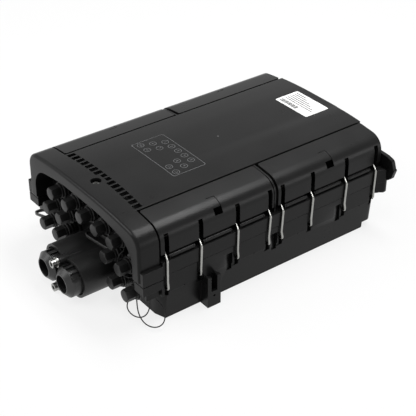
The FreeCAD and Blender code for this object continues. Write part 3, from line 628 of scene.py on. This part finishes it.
def strapLine(size, reach):
    curve = bpy.data.curves.new("strapLine", "CURVE")
    curve.dimensions = "3D"
    curve.resolution_u = size["bandSteps"]
    half = size["thickness"] / 2
    front = size["ringFront"] + half
    foremost = front - size["lean"]
    rear = size["rear"] - half
    rearmost = rear + size["rearStep"]
    swell = reach * size["swellShare"] + size["swellFrom"]
    points = [(size["ringOuter"] - size["root"], front),
              (size["ringOuter"] + size["rise"], front - size["lean"] * size["leanStart"]),
              (swell, foremost), (reach + size["bulge"], foremost),
              (reach + size["bulge"], rearmost), (swell, rearmost),
              (size["collar"] + size["rise"], rear + size["collarStep"]),
              (size["collar"] + size["collarSeat"], rear)]
    spline = curve.splines.new("NURBS")
    spline.points.add(len(points) - 1)
    for point, (r, y) in zip(spline.points, points):
        point.co = (r * mm, y * mm, 0, 1)
    spline.order_u = 4
    spline.use_endpoint_u = True
    guide = newObject("strapLine", curve)
    mesh = plainMesh(guide)
    line = [v.co.copy() for v in mesh.vertices]
    bpy.data.objects.remove(guide)
    bpy.data.meshes.remove(mesh)
    return line


def strapBand(work, size, place, reach):
    line = strapLine(size, reach)
    half, thick, soft = size["width"] / 2 * mm, size["thickness"] / 2 * mm, size["bandSoft"] * mm
    section = [(-half, thick - soft), (-half + soft, thick), (half - soft, thick), (half, thick - soft),
               (half, -thick + soft), (half - soft, -thick), (-half + soft, -thick), (-half, -thick + soft)]
    across = Vector((0, 0, 1))
    rings = []
    for i, point in enumerate(line):
        ahead = (line[min(i + 1, len(line) - 1)] - line[max(i - 1, 0)]).normalized()
        out = across.cross(ahead)
        rings.append([work.verts.new(place @ (point + across * a + out * b)) for a, b in section])
    skinRings(work, zip(rings, rings[1:]))
    work.faces.new(rings[0])
    work.faces.new(list(reversed(rings[-1])))


def makeStraps(size):
    for row, places in size["rows"].items():
        work = bmesh.new()
        for i in places:
            portX, portZ = portPlaces[i]
            seat = Matrix.Translation(inMetres(portX, 0, portZ))
            strapRing(work, size, seat)
            if size["lies"][i]:
                angle, reach = size["lies"][i]
                strapBand(work, size, seat @ Matrix.Rotation(math.radians(-angle), 4, "Y"), reach)
        name = "capStraps" + row.title()
        mesh = closeMesh(work, name, strapRubber)
        smoothMesh(mesh, size["crease"])
        straps = newObject(name, mesh)
        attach(straps, "housing")
        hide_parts("cap_straps_" + row)


makeStraps(capStraps)
print("straps looped")

# The lid's top is level in the middle and falls away in a wide arc to both sides
lidCrown = {"top": 128.0, "level": 17.6, "radius": 630.0}


def layOnCrown(mesh, crown):
    for vertex in mesh.vertices:
        past = max(0.0, abs(vertex.co.x) - crown["level"] * mm)
        vertex.co.z -= past ** 2 / (2 * crown["radius"] * mm)


# Gate mark: the small round pip that the mould's runner leaves near the middle of the lid
gateMark = {
    "at": (2.1, 10.2), "radius": 1.5, "crown": 1.2, "low": 127.8, "high": 128.1, "steps": 32, "crease": 40}


def makeGateMark(size):
    middle = inMetres(*size["at"], (size["low"] + size["high"]) / 2)
    work = bmesh.new()
    bmesh.ops.create_cone(work, cap_ends=True, segments=size["steps"], radius1=size["radius"] * mm,
                          radius2=size["crown"] * mm, depth=(size["high"] - size["low"]) * mm,
                          matrix=Matrix.Translation(middle))
    mesh = closeMesh(work, "gateMark", gatePlastic)
    smoothMesh(mesh, size["crease"])
    mark = newObject("gateMark", mesh)
    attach(mark, "housing")


makeGateMark(gateMark)
print("gate mark left on the lid")

# Port map printed on the lid: a rounded frame, a ring for each port, and its number
portMap = {
    "ink": 0.05, "ring": 4.4, "ringSteps": 40, "line": 0.55, "frame": (88.0, 46.0), "frameAt": (0.8, -62.9),
    "frameRound": 2.0, "roundSteps": 6, "step": 2.0, "weld": 0.001, "digits": 4.6, "digitInk": 0.02,
    "digitSteps": 3,
    "rings": [(-24.8, -48.7), (-11.8, -48.7), (1.2, -48.7), (14.2, -48.7), (27.2, -48.7),
              (-30.8, -62.5), (-17.0, -62.5), (19.4, -63.1), (33.0, -63.1),
              (-36.0, -76.7), (-22.0, -76.7), (24.6, -78.1), (38.2, -78.1)]}


def outlineTree(size):
    tree, given = newTree("printedOutline", {
        "Ring radius": "Float", "Line width": "Float", "Frame width": "Float", "Frame depth": "Float",
        "Frame corner": "Float", "Frame place": "Vector", "Ink height": "Float", "Step": "Float",
        "Finish": "Material"})
    outer = addNode(tree, "GeometryNodeCurvePrimitiveCircle", {"Resolution": size["ringSteps"]},
                    {"Radius": given["Ring radius"]})
    less = addNode(tree, "ShaderNodeMath", None, {0: given["Ring radius"], 1: given["Line width"]},
                   operation="SUBTRACT")
    inner = addNode(tree, "GeometryNodeCurvePrimitiveCircle", {"Resolution": size["ringSteps"]},
                    {"Radius": less.outputs[0]})
    both = addNode(tree, "GeometryNodeJoinGeometry")
    tree.links.new(outer.outputs["Curve"], both.inputs[0])
    tree.links.new(inner.outputs["Curve"], both.inputs[0])
    ring = addNode(tree, "GeometryNodeFillCurve", None, {"Curve": both.outputs[0]})
    rings = addNode(tree, "GeometryNodeInstanceOnPoints", None,
                    {"Points": given["Geometry"], "Instance": ring.outputs["Mesh"]})
    # The frame is filled between its outer outline and one that is two line widths smaller
    frames = addNode(tree, "GeometryNodeJoinGeometry")
    for scale in (0.0, 2.0):
        trim = addNode(tree, "ShaderNodeMath", {1: scale}, {0: given["Line width"]}, operation="MULTIPLY")
        wide = addNode(tree, "ShaderNodeMath", None, {0: given["Frame width"], 1: trim.outputs[0]},
                       operation="SUBTRACT")
        deep = addNode(tree, "ShaderNodeMath", None, {0: given["Frame depth"], 1: trim.outputs[0]},
                       operation="SUBTRACT")
        box = addNode(tree, "GeometryNodeCurvePrimitiveQuadrilateral", None,
                      {"Width": wide.outputs[0], "Height": deep.outputs[0]})
        soft = addNode(tree, "GeometryNodeFilletCurve", {"Count": size["roundSteps"]},
                       {"Curve": box.outputs["Curve"], "Radius": given["Frame corner"]}, mode="POLY")
        fine = addNode(tree, "GeometryNodeResampleCurve", None,
                       {"Curve": soft.outputs["Curve"], "Length": given["Step"]}, mode="LENGTH")
        tree.links.new(fine.outputs["Curve"], frames.inputs[0])
    border = addNode(tree, "GeometryNodeFillCurve", None, {"Curve": frames.outputs[0]})
    placed = addNode(tree, "GeometryNodeTransform", None,
                     {"Geometry": border.outputs["Mesh"], "Translation": given["Frame place"]})
    flat = addNode(tree, "GeometryNodeJoinGeometry")
    solid = addNode(tree, "GeometryNodeRealizeInstances", None, {"Geometry": rings.outputs["Instances"]})
    tree.links.new(solid.outputs["Geometry"], flat.inputs[0])
    tree.links.new(placed.outputs["Geometry"], flat.inputs[0])
    raised = addNode(tree, "GeometryNodeExtrudeMesh", {"Individual": False},
                     {"Mesh": flat.outputs[0], "Offset Scale": given["Ink height"]})
    under = addNode(tree, "GeometryNodeFlipFaces", None, {"Mesh": flat.outputs[0]})
    whole = addNode(tree, "GeometryNodeJoinGeometry")
    tree.links.new(raised.outputs["Mesh"], whole.inputs[0])
    tree.links.new(under.outputs["Mesh"], whole.inputs[0])
    merged = addNode(tree, "GeometryNodeMergeByDistance", {"Distance": size["weld"] * mm},
                     {"Geometry": whole.outputs[0]})
    closeTree(tree, given, merged.outputs["Geometry"])
    return tree


def digitMesh(size, words, x, y):
    curve = bpy.data.curves.new("digits", "FONT")
    curve.body = words
    curve.size = size["digits"] * mm
    curve.align_x = "CENTER"
    curve.align_y = "CENTER"
    curve.extrude = size["digitInk"] * mm
    curve.resolution_u = size["digitSteps"]
    holder = newObject("digits", curve)
    mesh = plainMesh(holder)
    bpy.data.objects.remove(holder)
    mesh.transform(Matrix.Translation(inMetres(x, y, lidCrown["top"] + size["digitInk"])))
    return mesh


def joinMeshes(name, meshes, material):
    work = bmesh.new()
    for mesh in meshes:
        work.from_mesh(mesh)
    whole = bpy.data.meshes.new(name)
    work.to_mesh(whole)
    work.free()
    for polygon in whole.polygons:
        polygon.material_index = 0
    whole.materials.append(material)
    return newObject(name, whole)


def makePortMap(size):
    top = lidCrown["top"]
    dots = bpy.data.meshes.new("portRings")
    dots.from_pydata([inMetres(x, y, top) for x, y in size["rings"]], [], [])
    rings = runTree("portMapLines", dots, outlineTree(size), {
        "Ring radius": size["ring"] * mm, "Line width": size["line"] * mm,
        "Frame width": size["frame"][0] * mm, "Frame depth": size["frame"][1] * mm,
        "Frame corner": size["frameRound"] * mm, "Frame place": inMetres(*size["frameAt"], top),
        "Ink height": size["ink"] * mm, "Step": size["step"] * mm, "Finish": lidInk})
    digits = [digitMesh(size, str(i), x, y) for i, (x, y) in enumerate(size["rings"], 1)]
    numbers = joinMeshes("portMapNumbers", digits, lidInk)
    for piece in (rings, numbers):
        layOnCrown(piece.data, lidCrown)
        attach(piece, "housing")


makePortMap(portMap)
print("port map printed")

# Label: plain bars only, as (x from, x to, y from, y to). The film is pressed in, so that the ink on it
# stays below the film's own height. A bar has a joint every few millimetres to follow the lid's crown.
labelBars = {
    "height": 128.16, "pressed": 0.04, "ink": 0.03, "joint": 4,
    "lines": [(-25.6, -7.6, 159.4, 160.6), (-25.6, -2.6, 155.6, 156.8), (-25.6, 7.4, 151.8, 153.0),
              (-25.6, 13.4, 148.0, 149.2), (-25.6, 21.4, 144.2, 145.4), (-25.6, 24.4, 140.4, 141.6)],
    "strip": (-25.6, 5.4, 130.2, 136.6), "stripBars": 15, "wideBar": 0.72, "thinBar": 0.5, "thinEvery": 3}


def barBox(work, size, x0, x1, y0, y1):
    low, high = size["height"], size["height"] + size["ink"]
    corners = ((y0, low), (y1, low), (y1, high), (y0, high))
    parts = max(1, round((x1 - x0) / size["joint"]))
    rings = []
    for i in range(parts + 1):
        x = x0 + (x1 - x0) * i / parts
        rings.append([work.verts.new(inMetres(x, y, z)) for y, z in corners])
    work.faces.new(rings[0])
    work.faces.new(list(reversed(rings[-1])))
    skinRings(work, zip(rings[1:], rings))


def makeLabelBars(size):
    film = refine("label", "labelFilm", labelFilm)
    film.data.transform(Matrix.Translation(inMetres(0, 0, -size["pressed"])))
    work = bmesh.new()
    for line in size["lines"]:
        barBox(work, size, *line)
    x0, x1, y0, y1 = size["strip"]
    pitch = (x1 - x0) / size["stripBars"]
    for i in range(size["stripBars"]):
        start = x0 + i * pitch
        share = size["wideBar"] if i % size["thinEvery"] else size["thinBar"]
        barBox(work, size, start, start + pitch * share, y0, y1)
    mesh = closeMesh(work, "labelBars", labelInk)
    layOnCrown(mesh, lidCrown)
    bars = newObject("labelBars", mesh)
    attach(bars, "housing")


makeLabelBars(labelBars)
print("label printed")

# Studio, in metres: a white sweep that keeps a soft shadow, one large softbox above and three weak fills
studio = {
    "floor": 8.0, "floorZ": -0.0004, "worldLight": 0.2, "lift": 0.8, "paper": "#747474",
    "sweepTop": 0.08, "ceilingFrom": 0.4, "ceiling": 0.62,
    "lamps": {
        "overheadBox": {"place": (0.0, 0.72, 1.9), "target": (0, 0, 0.1), "size": (1.6, 0.55), "power": 31},
        "lowBox": {"place": (2.3, 1.5, 0.5), "target": (0, 0, 0.08), "size": (1.4, 0.8), "power": 9},
        "topBox": {"place": (0.25, -0.35, 1.7), "target": (0, -0.15, 0.05), "size": (0.5, 0.9), "power": 6},
        "frontBox": {"place": (-1.0, -1.4, 1.3), "target": (0, 0, 0.06), "size": (1.1, 1.1), "power": 17}}}


# What the camera sees directly, in a metal or through glass
def seenDirectly(tree):
    rays = addNode(tree, "ShaderNodeLightPath").outputs
    plain = addNode(tree, "ShaderNodeMath", None, {0: rays["Is Camera Ray"], 1: rays["Is Glossy Ray"]},
                    operation="MAXIMUM")
    seen = addNode(tree, "ShaderNodeMath", None, {0: plain.outputs[0], 1: rays["Is Transmission Ray"]},
                   operation="MAXIMUM")
    return seen.outputs[0]


# Grey paper that takes the shadow, lifted to white where it is seen directly
def makeFloor(size):
    half, level = size["floor"] / 2, size["floorZ"]
    corners = [(-half, -half, level), (half, -half, level), (half, half, level), (-half, half, level)]
    mesh = bpy.data.meshes.new("studioFloor")
    mesh.from_pydata(corners, [], [(0, 1, 2, 3)])
    sweep = bpy.data.materials.new("studioPaper")
    sweep.use_nodes = True
    tree = sweep.node_tree
    tree.nodes.clear()
    paper = addNode(tree, "ShaderNodeBsdfDiffuse", {"Color": linear(size["paper"])})
    strength = addNode(tree, "ShaderNodeMath", {1: size["lift"]}, {0: seenDirectly(tree)},
                       operation="MULTIPLY")
    lift = addNode(tree, "ShaderNodeEmission", {"Color": white}, {"Strength": strength.outputs[0]})
    total = addNode(tree, "ShaderNodeAddShader", None, {0: paper.outputs[0], 1: lift.outputs[0]})
    addNode(tree, "ShaderNodeOutputMaterial", None, {"Surface": total.outputs[0]})
    mesh.materials.append(sweep)
    newObject("studioFloor", mesh)


# The white sweep stands behind the object, and the room's ceiling above it is duller
def makeWorld(size):
    world = bpy.data.worlds.new("studioWorld")
    scene.world = world
    world.use_nodes = True
    tree = world.node_tree
    tree.nodes.clear()
    view = addNode(tree, "ShaderNodeTexCoord")
    height = addNode(tree, "ShaderNodeSeparateXYZ", None, {"Vector": view.outputs["Generated"]})
    backdrop = addNode(tree, "ShaderNodeMapRange", {
        "From Min": size["sweepTop"], "From Max": size["ceilingFrom"], "To Min": 1.0,
        "To Max": size["ceiling"]}, {"Value": height.outputs["Z"]}, interpolation_type="SMOOTHSTEP")
    level = addNode(tree, "ShaderNodeMapRange", {"To Min": size["worldLight"]},
                    {"Value": seenDirectly(tree), "To Max": backdrop.outputs["Result"]})
    sky = addNode(tree, "ShaderNodeBackground", {"Color": white}, {"Strength": level.outputs[0]})
    addNode(tree, "ShaderNodeOutputWorld", None, {"Surface": sky.outputs[0]})


def makeLamps(size):
    for name, lamp in size["lamps"].items():
        data = bpy.data.lights.new(name, "AREA")
        data.shape = "RECTANGLE"
        data.size, data.size_y = lamp["size"]
        data.energy = lamp["power"]
        holder = newObject(name, data)
        holder.location = lamp["place"]
        sight = Vector(lamp["target"]) - Vector(lamp["place"])
        holder.rotation_euler = sight.to_track_quat("-Z", "Y").to_euler()


makeFloor(studio)
makeWorld(studio)
makeLamps(studio)
print("studio lit")
